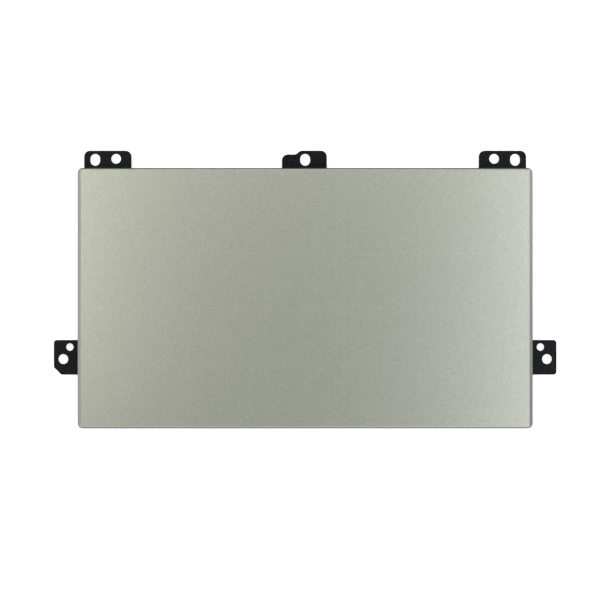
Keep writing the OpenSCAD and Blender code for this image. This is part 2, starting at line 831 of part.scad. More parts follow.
cover_glass();
glass_adhesive();
sensor_board();
support_bracket();
insulating_film();
hinge_leaf_left();
hinge_leaf_right();
hinge_tape_left();
hinge_tape_right();
bumper_left();
bumper_right();
touch_controller();
controller_leads();
voltage_regulator();
surge_protector();
small_chip_leads();
capacitors();
resistors();
connector_housing();
connector_contacts();
connector_anchors();
connector_latch();
switch_base();
switch_terminals();
switch_dome();
switch_cover();
switch_plunger();
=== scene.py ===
"""Looks of a laptop clickpad: finishes, solder, board print, foam and leaves, with light and camera."""

import json
import math

import bmesh
import bpy
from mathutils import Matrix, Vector


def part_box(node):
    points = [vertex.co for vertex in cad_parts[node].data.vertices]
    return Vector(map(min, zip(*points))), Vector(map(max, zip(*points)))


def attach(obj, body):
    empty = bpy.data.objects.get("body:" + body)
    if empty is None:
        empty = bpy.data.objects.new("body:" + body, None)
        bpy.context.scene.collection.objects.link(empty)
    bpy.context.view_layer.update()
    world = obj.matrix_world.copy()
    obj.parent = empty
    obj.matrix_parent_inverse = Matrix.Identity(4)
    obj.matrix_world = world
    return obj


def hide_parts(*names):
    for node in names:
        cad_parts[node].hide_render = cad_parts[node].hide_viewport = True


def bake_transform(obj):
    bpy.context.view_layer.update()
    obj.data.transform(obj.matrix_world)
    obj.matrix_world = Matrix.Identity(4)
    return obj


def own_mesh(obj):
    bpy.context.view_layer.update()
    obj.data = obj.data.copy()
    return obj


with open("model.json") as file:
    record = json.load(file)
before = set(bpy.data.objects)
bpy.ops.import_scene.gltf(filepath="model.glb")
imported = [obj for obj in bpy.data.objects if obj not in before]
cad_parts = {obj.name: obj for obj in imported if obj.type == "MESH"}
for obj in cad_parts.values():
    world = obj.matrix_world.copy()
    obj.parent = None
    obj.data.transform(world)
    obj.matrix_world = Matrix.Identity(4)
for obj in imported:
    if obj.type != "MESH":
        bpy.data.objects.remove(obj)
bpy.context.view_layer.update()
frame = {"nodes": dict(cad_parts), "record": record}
nodes = frame["nodes"]

MM = 0.001
WELD = 0.0005 * MM

# Levels and lines of the frame, in millimetres
BOARD_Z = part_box("sensor_board")[0].z / MM
SHEET = 0.4
RAIL_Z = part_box("hinge_leaf_left")[0].z / MM - SHEET
JOINTS = {joint["name"]: joint for joint in frame["record"]["behaviour"]["joints"]}
HINGE_Y = JOINTS["pad_click"]["pos_m"][1] / MM
FLEX = 1.6
RAIL_FRONT = HINGE_Y + FLEX / 2
TAPE_BACK = HINGE_Y - FLEX / 2
SUNK = 0.005


# Node finishes

# Span that most values of a noise pattern lie in
NOISE_SPAN = (0.3, 0.7)


def rgb(red, green, blue):
    """Colour as it shows on a screen, 0 to 255, turned into the linear values that a shader takes."""
    def linear(value):
        share = value / 255
        return share / 12.92 if share <= 0.04045 else ((share + 0.055) / 1.055) ** 2.4
    return (linear(red), linear(green), linear(blue), 1.0)


def plug(tree, value, socket):
    """Links a socket, or sets a plain value."""
    if isinstance(value, bpy.types.NodeSocket):
        tree.links.new(value, socket)
    else:
        socket.default_value = value


def add_node(tree, kind, inputs=None, **settings):
    """New shader node with its settings, and with its inputs linked or set."""
    made = tree.nodes.new(kind)
    for name, value in settings.items():
        setattr(made, name, value)
    for key, value in (inputs or {}).items():
        plug(tree, value, made.inputs[key])
    return made


def math_node(tree, operation, first, second):
    return add_node(tree, "ShaderNodeMath", {0: first, 1: second}, operation=operation).outputs[0]


def map_node(tree, value, span, ends, curve="LINEAR"):
    """Maps one span of a value to another, and holds it there."""
    made = add_node(tree, "ShaderNodeMapRange", {
        "Value": value, "From Min": span[0], "From Max": span[1], "To Min": ends[0], "To Max": ends[1],
    }, interpolation_type=curve)
    return made.outputs["Result"]


class Finish:
    """Node material round one Principled shader. Patterns are measured in metres on the object."""

    def __init__(self, name, **values):
        self.material = bpy.data.materials.new(name)
        self.material.use_nodes = True
        self.tree = self.material.node_tree
        self.shader = self.tree.nodes["Principled BSDF"]
        for words, value in values.items():
            self.shader.inputs[words.replace("_", " ")].default_value = value
        self.place = self.node("ShaderNodeTexCoord").outputs["Object"]

    def node(self, kind, inputs=None, **settings):
        return add_node(self.tree, kind, inputs, **settings)

    def set(self, name, value):
        plug(self.tree, value, self.shader.inputs[name])

    def stretched(self, x, y, z):
        """Coordinates in which a pattern is drawn out along the axes with a small factor."""
        return self.node("ShaderNodeMapping", {"Vector": self.place, "Scale": (x, y, z)}).outputs["Vector"]

    def noise(self, size, detail=2.0, rough=0.5, place=None):
        """Cloudy pattern whose spots are about that size."""
        made = self.node("ShaderNodeTexNoise", {
            "Vector": place or self.place, "Scale": 1 / size, "Detail": detail, "Roughness": rough,
        })
        return made.outputs["Fac"]

    def cells(self, size, output):
        """Cells about that size: the Distance from the middle of each, or the random Color of each."""
        return self.node("ShaderNodeTexVoronoi", {"Vector": self.place, "Scale": 1 / size}).outputs[output]

    def fit(self, value, low, high, to_low=0.0, to_high=1.0):
        return map_node(self.tree, value, (low, high), (to_low, to_high))

    def math(self, operation, first, second=0.0):
        return math_node(self.tree, operation, first, second)

    def blend(self, share, first, second):
        """Two patterns in one: the first by its share, and the second by the rest."""
        rest = self.math("MULTIPLY", second, 1 - share)
        return self.math("ADD", self.math("MULTIPLY", first, share), rest)

    def mix(self, share, first, second):
        """Colour between two others, by a share from 0 to 1, on the sockets for colours."""
        return self.node("ShaderNodeMix", {0: share, 6: first, 7: second}, data_type="RGBA").outputs[2]

    def axis(self, name, source=None):
        return self.node("ShaderNodeSeparateXYZ", {"Vector": source or self.place}).outputs[name]

    def facing(self, name):
        """How far the true surface faces along an axis."""
        return self.axis(name, self.node("ShaderNodeNewGeometry").outputs["True Normal"])

    def tint(self, pattern, dark, light, span=NOISE_SPAN):
        """Base colour that goes from dark to light with a pattern."""
        self.set("Base Color", self.mix(self.fit(pattern, *span), rgb(*dark), rgb(*light)))

    def gloss(self, pattern, low, high):
        """Roughness that goes from low to high with a pattern."""
        self.set("Roughness", self.fit(pattern, *NOISE_SPAN, low, high))

    def relief(self, pattern, height):
        """Fine surface relief of that height in metres."""
        bump = self.node("ShaderNodeBump", {"Height": pattern, "Distance": height})
        self.set("Normal", bump.outputs["Normal"])


# Print behind the glass and its grain, with sizes in millimetres
PAD_METAL = 0.72
PAD_DARK = (172, 175, 159)
PAD_LIGHT = (210, 213, 196)
PAD_ROUGH = (0.37, 0.43)
PAD_MOTTLE = 0.8
FLAKE = 0.075
FLAKE_SHARE = 0.6
GRAIN_SPAN = (0.2, 0.8)
ETCH = 0.07
ETCH_HEIGHT = 0.0012
# Faint lines of the print, in millimetres: axis, middle of the set, and the two folds that space the lines
PAD_LINES = (("X", 0.0, 19.5, 9.75), ("Y", -4.74, 6.94, 6.94))
PAD_LINE = (212, 215, 198)
LINE_WIDTH = 0.5
LINE_ENDS = {"X": (50.0, 40.0), "Y": (30.0, 16.0)}
LINE_SHARE = 0.2
# Bevels, whose grey on the sides is painted shade, and the rim below them: its top at the front and back
# and at the sides, in millimetres
BEVEL_SHADE_GREY = (172, 173, 165)
BEVEL_PRINT = 0.3
BEVEL_ROUGH = 0.45
RIM_GREY = (86, 90, 86)
RIM_TOP = (2.895, 2.745)
RIM_FADE = 0.05
# How far a face looks up, and sideways, where it counts as flat and as a side bevel
FLAT_FACING = (0.95, 0.98)
SIDE_FACING = (0.2, 0.3)


def pad_lines(made):
    """Four lines across the pad and three along it, which fade out towards its edges."""
    near = []
    ends = []
    for axis, middle, first_fold, second_fold in PAD_LINES:
        away = made.math("ABSOLUTE", made.math("SUBTRACT", made.axis(axis), middle * MM))
        ends.append(made.fit(away, LINE_ENDS[axis][0] * MM, LINE_ENDS[axis][1] * MM))
        for fold in (first_fold, second_fold):
            away = made.math("ABSOLUTE", made.math("SUBTRACT", away, fold * MM))
        near.append(made.fit(away, LINE_WIDTH / 2 * MM, 0.0))
    return made.math("MULTIPLY", made.math("MAXIMUM", *near), made.math("MULTIPLY", *ends))


def satin_glass():
    """Metallic print behind etched glass: flake grain, faint lines, painted shade in grey on the side
    bevels, and a darker rim.
    """
    made = Finish("satin_glass", Metallic=PAD_METAL, Specular_IOR_Level=0.4)
    mottle = made.noise(PAD_MOTTLE * MM, 2.0, 1.0)
    grain = made.blend(FLAKE_SHARE, made.cells(FLAKE * MM, "Color"), mottle)
    print_color = made.mix(made.fit(grain, *GRAIN_SPAN), rgb(*PAD_DARK), rgb(*PAD_LIGHT))
    line = made.math("MULTIPLY", pad_lines(made), LINE_SHARE)
    print_color = made.mix(line, print_color, rgb(*PAD_LINE))
    flat = made.fit(made.facing("Z"), *FLAT_FACING)
    side = made.fit(made.math("ABSOLUTE", made.facing("X")), *SIDE_FACING)
    # Painted shade: the bevels that face sideways take a darker grey in place of most of the print.
    bevel = made.mix(made.fit(grain, *GRAIN_SPAN, 0.0, BEVEL_PRINT), rgb(*BEVEL_SHADE_GREY), print_color)
    rim_top = made.fit(side, 0.0, 1.0, RIM_TOP[0] * MM, RIM_TOP[1] * MM)
    rim = made.fit(made.math("SUBTRACT", rim_top, made.axis("Z")), 0.0, RIM_FADE * MM)
    made.set("Base Color", made.mix(rim, made.mix(side, print_color, bevel), rgb(*RIM_GREY)))
    satin = made.fit(grain, *GRAIN_SPAN, *PAD_ROUGH)
    made.set("Roughness", made.fit(flat, 0.0, 1.0, BEVEL_ROUGH, satin))
    made.relief(made.noise(ETCH * MM), ETCH_HEIGHT * MM)
    return made.material


def clear_adhesive():
    depth = (0.2 * MM,) * 3
    made = Finish("clear_adhesive", Roughness=0.35, Subsurface_Weight=0.2, Subsurface_Radius=depth)
    made.tint(made.noise(0.6 * MM), (196, 197, 188), (222, 222, 214))
    return made.material


# Hatched copper under the solder mask: its pitch, and where it starts to each side, in millimetres
HATCH_PITCH = 0.9
HATCH_SHARE = 0.24
HATCH_SOFT = 0.03
HATCH_START = (22.0, 22.2)
DIAGONAL = 0.7071


def hatch_lines(made):
    """Crossed diagonal lines of copper, 1 on a line and 0 in the gaps."""
    x = made.axis("X")
    y = made.axis("Y")
    lines = []
    for operation in ("ADD", "SUBTRACT"):
        along = made.math("MULTIPLY", made.math(operation, x, y), DIAGONAL / (HATCH_PITCH * MM))
        saw = made.math("PINGPONG", along, 0.5)
        lines.append(made.fit(saw, HATCH_SHARE / 2 + HATCH_SOFT, HATCH_SHARE / 2 - HATCH_SOFT))
    return made.math("MAXIMUM", *lines)


def board_laminate():
    """Solder mask on the flat faces, over hatched copper beside the parts, and cut layers at the edge."""
    made = Finish("board_laminate", Specular_IOR_Level=0.45)
    mottle = made.noise(1.6 * MM, 3.0)
    mask = made.mix(made.fit(mottle, *NOISE_SPAN), rgb(20, 74, 48), rgb(26, 86, 56))
    from_middle = made.math("ABSOLUTE", made.axis("X"))
    beside_parts = made.fit(from_middle, HATCH_START[0] * MM, HATCH_START[1] * MM)
    hatch = made.math("MULTIPLY", hatch_lines(made), beside_parts)
    mask = made.mix(hatch, mask, rgb(37, 104, 66))
    layers = made.noise(0.06 * MM, 2.0, 0.6, made.stretched(0.04, 0.04, 1.0))
    cut = made.mix(made.fit(layers, *NOISE_SPAN), rgb(148, 142, 96), rgb(186, 180, 134))
    flat = made.fit(made.math("ABSOLUTE", made.facing("Z")), 0.4, 0.6)
    made.set("Base Color", made.mix(flat, cut, mask))
    made.gloss(mottle, 0.36, 0.46)
    made.relief(hatch, 0.006 * MM)
    return made.material


def black_steel():
    """Thin black coat on steel sheet: a fine grain, and the mottle that such a coat dries with."""
    made = Finish("black_steel", Specular_IOR_Level=0.14)
    grain = made.noise(0.14 * MM, 3.0, 0.6)
    mottle = made.noise(0.4 * MM, 2.0, 0.6)
    worn = made.noise(5.0 * MM, 3.0, 0.6)
    coat = made.mix(made.fit(worn, 0.35, 0.7), rgb(5, 5, 7), rgb(11, 12, 15))
    coat = made.mix(made.fit(mottle, 0.4, 0.7, 0.0, 0.55), coat, rgb(42, 43, 46))
    made.set("Base Color", coat)
    made.gloss(grain, 0.42, 0.56)
    made.relief(grain, 0.004 * MM)
    return made.material


def spring_steel():
    """Bare rolled steel, with fine lines along X."""
    made = Finish("spring_steel", Metallic=1.0)
    lines = made.noise(0.05 * MM, 3.0, 0.6, made.stretched(0.03, 1.0, 1.0))
    made.tint(made.blend(0.7, lines, made.noise(2.0 * MM)), (150, 152, 155), (188, 190, 192))
    made.gloss(lines, 0.24, 0.4)
    made.relief(lines, 0.0015 * MM)
    return made.material


def dark_film():
    made = Finish("dark_film", Specular_IOR_Level=0.5)
    made.tint(made.noise(3.0 * MM, 3.0), (38, 39, 42), (50, 51, 54))
    made.gloss(made.noise(0.8 * MM), 0.28, 0.4)
    made.relief(made.noise(0.5 * MM), 0.003 * MM)
    return made.material


def bond_tape():
    """Tape with fibres along X."""
    made = Finish("bond_tape", Specular_IOR_Level=0.3)
    fibre = made.noise(0.12 * MM, 4.0, 0.65, made.stretched(0.25, 1.0, 1.0))
    made.tint(fibre, (196, 187, 162), (224, 216, 194))
    made.gloss(fibre, 0.6, 0.75)
    made.relief(fibre, 0.006 * MM)
    return made.material


def foam_cells():
    """Open-cell foam: pores painted dark as painted shade, between thin lighter walls."""
    made = Finish("foam", Specular_IOR_Level=0.2, Sheen_Weight=0.15)
    walls = made.fit(made.cells(0.16 * MM, "Distance"), 0.15, 0.6)
    # Painted shade: the pores are painted darker than the walls round them.
    made.set("Base Color", made.mix(walls, rgb(34, 34, 37), rgb(78, 78, 82)))
    made.gloss(walls, 0.8, 0.95)
    made.relief(walls, 0.03 * MM)
    return made.material


def chip_resin():
    made = Finish("chip_resin", Specular_IOR_Level=0.4)
    grain = made.noise(0.06 * MM, 3.0, 0.7)
    made.tint(grain, (26, 27, 29), (44, 45, 48))
    made.gloss(grain, 0.48, 0.62)
    made.relief(grain, 0.003 * MM)
    return made.material


def bright_metal(name, dark, light, low, high):
    """Plated or tinned metal, clouded by handling."""
    made = Finish(name, Metallic=1.0)
    cloud = made.noise(0.25 * MM, 3.0, 0.6)
    made.tint(cloud, dark, light)
    made.gloss(made.noise(0.09 * MM), low, high)
    made.relief(cloud, 0.004 * MM)
    return made.material


def fired_ceramic(name, dark, light, rough=(0.35, 0.5)):
    made = Finish(name, Specular_IOR_Level=0.5)
    grain = made.noise(0.05 * MM, 3.0, 0.6)
    made.tint(grain, dark, light)
    made.gloss(grain, *rough)
    made.relief(grain, 0.002 * MM)
    return made.material


def moulded_plastic(name, dark, light):
    """Filled moulding plastic: a faint flow pattern along X and a fine matte grain."""
    made = Finish(name, Specular_IOR_Level=0.45)
    flow = made.noise(0.5 * MM, 2.0, 0.5, made.stretched(0.5, 1.0, 1.0))
    grain = made.noise(0.07 * MM)
    made.tint(flow, dark, light, (0.2, 0.8))
    made.gloss(grain, 0.4, 0.52)
    made.relief(grain, 0.003 * MM)
    return made.material


def board_ink():
    made = Finish("board_ink", Specular_IOR_Level=0.3)
    patchy = made.noise(0.12 * MM, 3.0, 0.7)
    made.tint(patchy, (196, 198, 192), (232, 234, 228))
    made.gloss(patchy, 0.55, 0.7)
    made.relief(patchy, 0.004 * MM)
    return made.material


def masked_copper():
    """Solder mask where copper lines lift it, a little lighter than the board round them."""
    made = Finish("masked_copper", Specular_IOR_Level=0.45)
    cloud = made.noise(0.7 * MM, 3.0)
    made.tint(cloud, (46, 118, 76), (60, 136, 90))
    made.gloss(cloud, 0.34, 0.44)
    made.relief(made.noise(0.15 * MM), 0.003 * MM)
    return made.material


FINISH = {
    "satin_glass": satin_glass(),
    "clear_adhesive": clear_adhesive(),
    "board_laminate": board_laminate(),
    "black_steel": black_steel(),
    "spring_steel": spring_steel(),
    "dark_film": dark_film(),
    "bond_tape": bond_tape(),
    "foam": foam_cells(),
    "chip_resin": chip_resin(),
    "tin": bright_metal("tin", (168, 167, 162), (206, 205, 200), 0.28, 0.42),
    "capacitor_ceramic": fired_ceramic("capacitor_ceramic", (132, 103, 72), (160, 128, 92)),
    "resistor_ceramic": fired_ceramic("resistor_ceramic", (30, 31, 33), (44, 45, 48)),
    "ivory_plastic": moulded_plastic("ivory_plastic", (212, 205, 186), (230, 224, 207)),
    "dark_plastic": moulded_plastic("dark_plastic", (44, 38, 34), (58, 51, 46)),
    "gold_contact": bright_metal("gold_contact", (196, 156, 82), (224, 188, 112), 0.2, 0.34),
}
BOARD_INK = board_ink()
MASKED_COPPER = masked_copper()
ALUMINA = fired_ceramic("alumina", (206, 205, 200), (226, 226, 222), (0.45, 0.6))
WELD_STEEL = bright_metal("weld_steel", (96, 98, 106), (146, 146, 148), 0.34, 0.5)


def dress_frame():
    """Gives every node of the frame the finish that the record names for it."""
    for row in frame["record"]["subparts"]:
        mesh = nodes[row["node"]].data
        mesh.materials.clear()
        mesh.materials.append(FINISH[row["material_slot"]])


# Broken edges: width in millimetres, and the least angle of an edge that is broken, in degrees
EDGE_BREAKS = {
    "cover_glass": (0.05, 15.0),
    "support_bracket": (0.04, 30.0),
    "touch_controller": (0.04, 30.0),
    "voltage_regulator": (0.03, 30.0),
    "surge_protector": (0.03, 30.0),
    "connector_housing": (0.02, 30.0),
    "connector_latch": (0.04, 30.0),
    "switch_base": (0.03, 30.0),
    "switch_cover": (0.02, 30.0),
}


def break_edges(name, width, angle):
    """Rounds a node's sharp edges by a hair, as made ones are."""
    weld = nodes[name].modifiers.new("seams", "WELD")
    weld.merge_threshold = WELD
    bevel = nodes[name].modifiers.new("edge_break", "BEVEL")
    bevel.width = width * MM
    bevel.segments = 2
    bevel.limit_method = "ANGLE"
    bevel.angle_limit = math.radians(angle)
    bevel.harden_normals = True


# Meshes in the making

SMOOTH_ANGLE = 35.0
# Flat lines on the board: the least share of the width between the slopes, and the limit of a mitre
LINE_FLAT = 0.4
MITRE = 0.4
# Solder fillets: steps outwards, places across, how much wider the far end is, and how round the top is
FILLET_STEPS = 5
FILLET_ACROSS = (0.92, 0.5, 0.0, -0.5, -0.92)
FILLET_SPREAD = 0.25
FILLET_ROUND = 0.75


class Shape:
    """Closed forms gathered in millimetres, each with the number of its finish, that become one piece."""

    def __init__(self):
        self.points = []
        self.faces = []
        self.finishes = []

    def add(self, points, faces, finish=0):
        start = len(self.points)
        self.points += [tuple(point) for point in points]
        self.faces += [tuple(start + index for index in face) for face in faces]
        self.finishes += [finish] * len(faces)

    def skin(self, rings, closed=False):
        """Skin over rings of equally many points: closed on itself, or with a face at each end."""
        count = len(rings[0])
        faces = []
        for ring in range(len(rings) if closed else len(rings) - 1):
            here = ring * count
            there = (ring + 1) % len(rings) * count
            for index in range(count):
                after = (index + 1) % count
                faces.append((here + index, here + after, there + after, there + index))
        if not closed:
            last = (len(rings) - 1) * count
            faces.append(tuple(reversed(range(count))))
            faces.append(tuple(range(last, last + count)))
        self.add([point for ring in rings for point in ring], faces)

    def turned(self, x, y, level, profile, steps, closed=False):
        """Round form about an upright axis, from pairs of radius and height above a level."""
        angles = [2 * math.pi * step / steps for step in range(steps)]
        rings = []
        for radius, height in profile:
            rings.append([(x + radius * math.cos(angle), y + radius * math.sin(angle), level + height)
                          for angle in angles])
        self.skin(rings, closed)

    def line(self, path, width, depth):
        """Flat line under the board along a path, with sloping sides and mitred bends."""
        path = [Vector(point) for point in path]
        turns = []
        for index, point in enumerate(path):
            before = (point - path[index - 1]).normalized() if index else None
            after = (path[index + 1] - point).normalized() if index < len(path) - 1 else None
            ahead = after if before is None else before if after is None else (before + after).normalized()
            stretch = 1.0 if before is None or after is None else 1.0 / max(ahead.dot(before), MITRE)
            turns.append(Vector((-ahead.y, ahead.x)) * stretch * width / 2)
        slope = max(1.0 - 2 * depth / width, LINE_FLAT)
        top = BOARD_Z + SUNK
        bottom = BOARD_Z - depth
        rings = []
        for point, turn in zip(path, turns):
            left, right = point + turn, point - turn
            left_low, right_low = point + turn * slope, point - turn * slope
            rings.append([(*left, top), (*left_low, bottom), (*right_low, bottom), (*right, top)])
        self.skin(rings)

    def block(self, low, high, radius, finish=0, segments=2):
        """Box with rounded edges."""
        work = bmesh.new()
        bmesh.ops.create_cube(work, size=1.0)
        for vert in work.verts:
            vert.co = Vector([low[a] if vert.co[a] < 0 else high[a] for a in range(3)])
        bmesh.ops.bevel(work, geom=work.edges[:] + work.verts[:], offset=radius, segments=segments,
                        profile=0.5, affect="EDGES")
        work.verts.index_update()
        faces = [[vert.index for vert in face.verts] for face in work.faces]
        self.add([vert.co for vert in work.verts], faces, finish)
        work.free()

    def fillet(self, foot, out, length, width, height):
        """Concave solder fillet on the board: full height against the lead at foot, thinning outwards."""
        out = Vector(out)
        side = Vector((-out.y, out.x))
        rings = []
        for step in range(FILLET_STEPS + 1):
            along = step / FILLET_STEPS
            rise = height * (1.0 - along) ** 2 + SUNK / 2
            spread = width / 2 * (1.0 + FILLET_SPREAD * along)
            middle = Vector(foot) + out * length * along
            ring = [(*(middle + side * spread), BOARD_Z + SUNK)]
            for across in FILLET_ACROSS:
                drop = rise * (1.0 - FILLET_ROUND * across ** 2)
                ring.append((*(middle + side * spread * across), BOARD_Z - drop))
            ring.append((*(middle - side * spread), BOARD_Z + SUNK))
            rings.append(ring)
        self.skin(rings)

    def piece(self, name, finishes, slot, body, smooth=SMOOTH_ANGLE):
        """Turns the forms into one object, with outward faces, that rides on a body."""
        mesh = bpy.data.meshes.new(name)
        mesh.from_pydata([Vector(point) * MM for point in self.points], [], self.faces)
        for finish in finishes:
            mesh.materials.append(finish)
        mesh.polygons.foreach_set("material_index", self.finishes)
        work = bmesh.new()
        work.from_mesh(mesh)
        bmesh.ops.recalc_face_normals(work, faces=work.faces)
        work.to_mesh(mesh)
        work.free()
        return place(name, mesh, slot, body, smooth)


def place(name, mesh, slot, body, smooth):
    """Puts a mesh into the scene, smooth up to an angle in degrees, with its body; its slot is not used."""
    mesh.polygons.foreach_set("use_smooth", [True] * len(mesh.polygons))
    mesh.set_sharp_from_angle(angle=math.radians(smooth))
    made = bpy.data.objects.new(name, mesh)
    bpy.context.scene.collection.objects.link(made)
    if body:
        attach(made, body)
    return made


def box_mm(name):
    """A node's lowest and highest corners, in millimetres."""
    return [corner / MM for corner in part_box(name)]


def solids_mm(name):
    """The boxes of a node's separate solids, in millimetres, in a fixed order."""
    mesh = nodes[name].data
    work = bmesh.new()
    work.from_mesh(mesh)
    bmesh.ops.remove_doubles(work, verts=work.verts, dist=WELD)
    boxes = []
    seen = set()
    for start in work.verts:
        if start in seen:
            continue
        seen.add(start)
        group = [start]
        for vert in group:
            for edge in vert.link_edges:
                other = edge.other_vert(vert)
                if other not in seen:
                    seen.add(other)
                    group.append(other)
        corners = [[pick(vert.co[a] for vert in group) / MM for a in range(3)] for pick in (min, max)]
        boxes.append((Vector(corners[0]), Vector(corners[1])))
    work.free()
    return sorted(boxes, key=lambda box: tuple(round(value, 3) for value in box[0]))


# Solder where each metal end meets the board: length, width and height of the fillets, in millimetres

CHIP_FILLET = (0.26, 0.24, 0.16)
PASSIVE_FILLET = (0.2, 0.48)
PASSIVE_RISE = {"capacitors": 0.3, "resistors": 0.22}
TAIL_FILLET = (0.3, 0.26, 0.1)
ANCHOR_REACH = 0.3
ANCHOR_END_REACH = 0.22
ANCHOR_INSET = 0.1
TERMINAL_REACH = 0.35
TAB_RISE = 0.12
CHIP_LEADS = {
    "touch_controller": "controller_leads",
    "voltage_regulator": "small_chip_leads",
    "surge_protector": "small_chip_leads",
}
LEAD_SLACK = 0.01


def long_axis(low, high):
    return 0 if high.x - low.x > high.y - low.y else 1


def box_end(low, high, axis, sign):
    """Middle of one end of a box, in plan, and the direction in which that end looks."""
    foot = [(low.x + high.x) / 2, (low.y + high.y) / 2]
    foot[axis] = high[axis] if sign > 0 else low[axis]
    return tuple(foot), (sign, 0) if axis == 0 else (0, sign)


def lead_end(lead, chip):
    """The end of a lead that lies at its chip's side, and the direction in which it looks out."""
    gaps = {}
    for axis in (0, 1):
        gaps[axis, -1] = abs(lead[0][axis] - chip[0][axis])
        gaps[axis, 1] = abs(chip[1][axis] - lead[1][axis])
    return box_end(*lead, *min(gaps, key=gaps.get))


def chip_solder():
    """Fillets at the flush leads of the three chips."""
    shape = Shape()
    for chip_name, lead_name in CHIP_LEADS.items():
        chip = box_mm(chip_name)
        for lead in solids_mm(lead_name):
            if lead[0].x < chip[0].x - LEAD_SLACK or lead[1].x > chip[1].x + LEAD_SLACK:
                continue
            shape.fillet(*lead_end(lead, chip), *CHIP_FILLET)
    shape.piece("chip_solder", [FINISH["tin"]], "tin", "pad")


def passive_solder():
    """Fillets at both ends of the capacitors and resistors."""
    shape = Shape()
    for name, rise in PASSIVE_RISE.items():
        for low, high in solids_mm(name):
            for sign in (-1, 1):
                shape.fillet(*box_end(low, high, long_axis(low, high), sign), *PASSIVE_FILLET, rise)
    shape.piece("passive_solder", [FINISH["tin"]], "tin", "pad")


def connector_solder():
    """Fillets at the connector's contact tails and at its anchors."""
    shape = Shape()
    for low, high in solids_mm("connector_contacts"):
        shape.fillet(*box_end(low, high, 1, -1), *TAIL_FILLET)
    housing = box_mm("connector_housing")
    for low, high in solids_mm("connector_anchors"):
        sign = -1 if low.x < housing[0].x else 1
        shape.fillet(*box_end(low, high, 0, sign), ANCHOR_REACH, high.y - low.y, TAB_RISE)
        for end in (-1, 1):
            width = high.x - low.x - ANCHOR_INSET
            shape.fillet(*box_end(low, high, 1, end), ANCHOR_END_REACH, width, TAB_RISE)
    shape.piece("connector_solder", [FINISH["tin"]], "tin", "pad")


def switch_solder():
    """Fillets at the outer ends of the switch's terminals."""
    shape = Shape()
    for low, high in solids_mm("switch_terminals"):
        sign = -1 if low.x < 0 else 1
        shape.fillet(*box_end(low, high, 0, sign), TERMINAL_REACH, high.y - low.y, TAB_RISE)
    shape.piece("switch_solder", [FINISH["tin"]], "tin", "pad")


# Capacitors and resistors, each with its body and metal ends, in millimetres

CAP = 0.22
CAP_ROUND = 0.05
BODY_INSET = 0.015
BODY_ROUND = 0.02
COAT_INSET = 0.03
COAT_LEVELS = (0.003, 0.05)
COAT_ROUND = 0.018


def passives(name, node, body_finish, slot, top_coat=None):
    """Bodies with a metal cap on each end and, where given, a coat on the face away from the board."""
    shape = Shape()
    for low, high in solids_mm(node):
        axis = long_axis(low, high)
        inset = Vector((BODY_INSET, BODY_INSET, BODY_INSET))
        inset[axis] = CAP / 2
        shape.block(low + inset, high - inset, BODY_ROUND)
        for at_start in (True, False):
            end_low, end_high = low.copy(), high.copy()
            if at_start:
                end_high[axis] = low[axis] + CAP
            else:
                end_low[axis] = high[axis] - CAP
            shape.block(end_low, end_high, CAP_ROUND, finish=1, segments=3)
        if top_coat:
            inset = Vector((COAT_INSET, COAT_INSET, 0.0))
            inset[axis] = CAP - COAT_INSET
            coat_low, coat_high = low + inset, high - inset
            coat_low.z, coat_high.z = [low.z + level for level in COAT_LEVELS]
            shape.block(coat_low, coat_high, COAT_ROUND, finish=2)
    finishes = [body_finish, FINISH["tin"]] + ([top_coat] if top_coat else [])
    made = shape.piece(name, finishes, slot, "pad")
    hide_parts(node)


# Copper, pads and print on the board's underside, in millimetres

TRACE_W = 0.2
TRACE_D = 0.03
INK_W = 0.15
INK_D = 0.015
BEND = 0.6
# Runs from each side of the controller: the first one's place, and the step from one to the next
SIDE_RUNS = 6
BACK_BUS = (2.9, 0.42)
BACK_COLUMN = (38.9, 1.75)
BACK_END = (-9.8, 1.3)
FRONT_BUS = (-7.8, -0.45)
FRONT_LEFT_COLUMN = (-47.3, 1.6)
FRONT_RIGHT_COLUMN = (31.9, -1.7)
FRONT_LEFT_END = (-24.9, 1.5)
FRONT_RIGHT_END = (-23.7, 1.5)
LEFT_RUNS = (3, 4)
LEFT_COLUMN = (-23.3, -1.15)
LEFT_END = (-5.4, 1.1)
CABLE_DOWN = (-1.9, 0.42)
CABLE_ACROSS = (-5.2, 0.36)
# Test pads, and the two marks that the board is set by, from the middle and from the board's front edge
TEST_PAD_FIRST = (-24.2, 15.6)
TEST_PAD_STEP = (-2.4, 2.6)
TEST_PAD_COLUMNS = 4
TEST_PAD_ROWS = 2
BOARD_TARGETS = ((-39.7, 14.7), (46.9, 14.7))
# Corner marks round the parts: how far out they lie, and the length of their legs
CORNER_MARKS = {
    "touch_controller": (0.45, 0.8),
    "voltage_regulator": (0.4, 0.45),
    "surge_protector": (0.4, 0.4),
    "switch_base": (0.35, 1.0),
}
PASSIVE_MARK = (0.2, 0.2)
CONNECTOR_MARK_OUT = 1.25
CONNECTOR_MARK_BACK = 0.3
CONNECTOR_MARK_FRONT = 1.0
CONNECTOR_MARK_LEGS = (0.9, 2.2)
# Dot at a chip's first lead: how far to the left of the chip and behind it
FIRST_LEAD_DOTS = {"touch_controller": 0.85, "voltage_regulator": 0.75}


def bent(path):
    """A path of right-angled runs with each corner cut at 45 degrees."""
    made = [path[0]]
    for before, corner, after in zip(path, path[1:], path[2:]):
        corner = Vector(corner)
        back = (Vector(before) - corner).normalized() * BEND
        ahead = (Vector(after) - corner).normalized() * BEND
        made += [tuple(corner + back), tuple(corner + ahead)]
    return made + [path[-1]]


def nth(series, index):
    """Place of one run, from the first one's place and the step."""
    first, step = series
    return first + step * index


